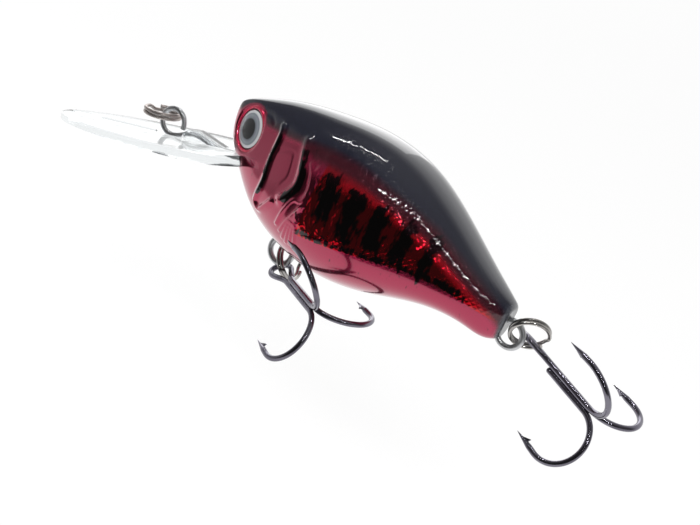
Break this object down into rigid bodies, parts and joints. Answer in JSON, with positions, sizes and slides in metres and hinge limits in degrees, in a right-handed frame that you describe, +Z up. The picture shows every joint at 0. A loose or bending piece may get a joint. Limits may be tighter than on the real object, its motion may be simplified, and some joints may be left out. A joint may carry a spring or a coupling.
{
  "type": "crankbait lure",
  "caption": "Deep-diving crankbait fishing lure with a clear lip, rattle chambers, split rings and swinging treble hooks.",
  "frame": {"origin": "centre of the wire eye on the diving lip where the line or snap is tied", "axes": "+X forward towards the lip's tip, +Y to the lure's left, +Z up"},
  "size_m": [0.1015, 0.0233, 0.0334],
  "materials": {
    "lure_skin": "ABS shell over-printed: black back, embossed red foil flanks, metallised candy-red belly, thick gloss clear coat",
    "clear_lip": "clear polycarbonate, polished",
    "bright_wire": "bright drawn stainless wire",
    "ring_nickel": "bright nickel plate",
    "hook_black_nickel": "black nickel over hardened steel, glossy",
    "eye_foil": "silver foil with a printed black pupil",
    "eye_lens": "clear cast resin dome",
    "ballast": "plain slug, as cast",
    "ball_steel": "polished bearing ball"
  },
  "bodies": {
    "lure_body": {"left_shell": "lure_skin", "right_shell": "lure_skin", "diving_lip": "clear_lip", "line_tie_wire": "bright_wire", "belly_hanger": "bright_wire", "tail_hanger": "bright_wire", "left_eye_disc": "eye_foil", "right_eye_disc": "eye_foil", "left_eye_dome": "eye_lens", "right_eye_dome": "eye_lens", "keel_weight": "ballast"},
    "front_ball": {"front_rattle_ball": "ball_steel"},
    "rear_ball": {"rear_rattle_ball": "ball_steel"},
    "tie_ring": {"line_tie_ring": "ring_nickel"},
    "belly_ring": {"belly_split_ring": "ring_nickel"},
    "belly_treble": {"belly_double_hook": "hook_black_nickel", "belly_single_hook": "hook_black_nickel"},
    "tail_ring": {"tail_split_ring": "ring_nickel"},
    "tail_treble": {"tail_double_hook": "hook_black_nickel", "tail_single_hook": "hook_black_nickel"}
  },
  "joints": [
    {"name": "front_ball_slide", "type": "slide", "parent": "lure_body", "child": "front_ball", "axis": [0, 1, 0], "range_m": [-0.0042, 0.0042]},
    {"name": "rear_ball_slide", "type": "slide", "parent": "lure_body", "child": "rear_ball", "axis": [0, 1, 0], "range_m": [-0.0049, 0.0049]},
    {"name": "tie_ring_swing", "type": "hinge", "parent": "lure_body", "child": "tie_ring", "pos_m": [-0.0003, 0, 0.0008], "axis": [0, 1, 0], "range_deg": [-135, 25]},
    {"name": "belly_ring_swing", "type": "hinge", "parent": "lure_body", "child": "belly_ring", "pos_m": [-0.02534, 0, -0.00709], "axis": [0, 1, 0], "range_deg": [-80, 0]},
    {"name": "belly_treble_swing", "type": "hinge", "parent": "belly_ring", "child": "belly_treble", "pos_m": [-0.0271, 0.00066, -0.0094], "axis": [-0.5689, -0.361, -0.7389], "range_deg": [-5, 45]},
    {"name": "tail_ring_swing", "type": "hinge", "parent": "lure_body", "child": "tail_ring", "pos_m": [-0.06168, 0, 0.00221], "axis": [0, 1, 0], "range_deg": [-45, 14]},
    {"name": "tail_treble_swing", "type": "hinge", "parent": "tail_ring", "child": "tail_treble", "pos_m": [-0.06435, -0.00226, 0.00166], "axis": [-0.8374, -0.3071, 0.4522], "range_deg": [-30, 30]}
  ]
}
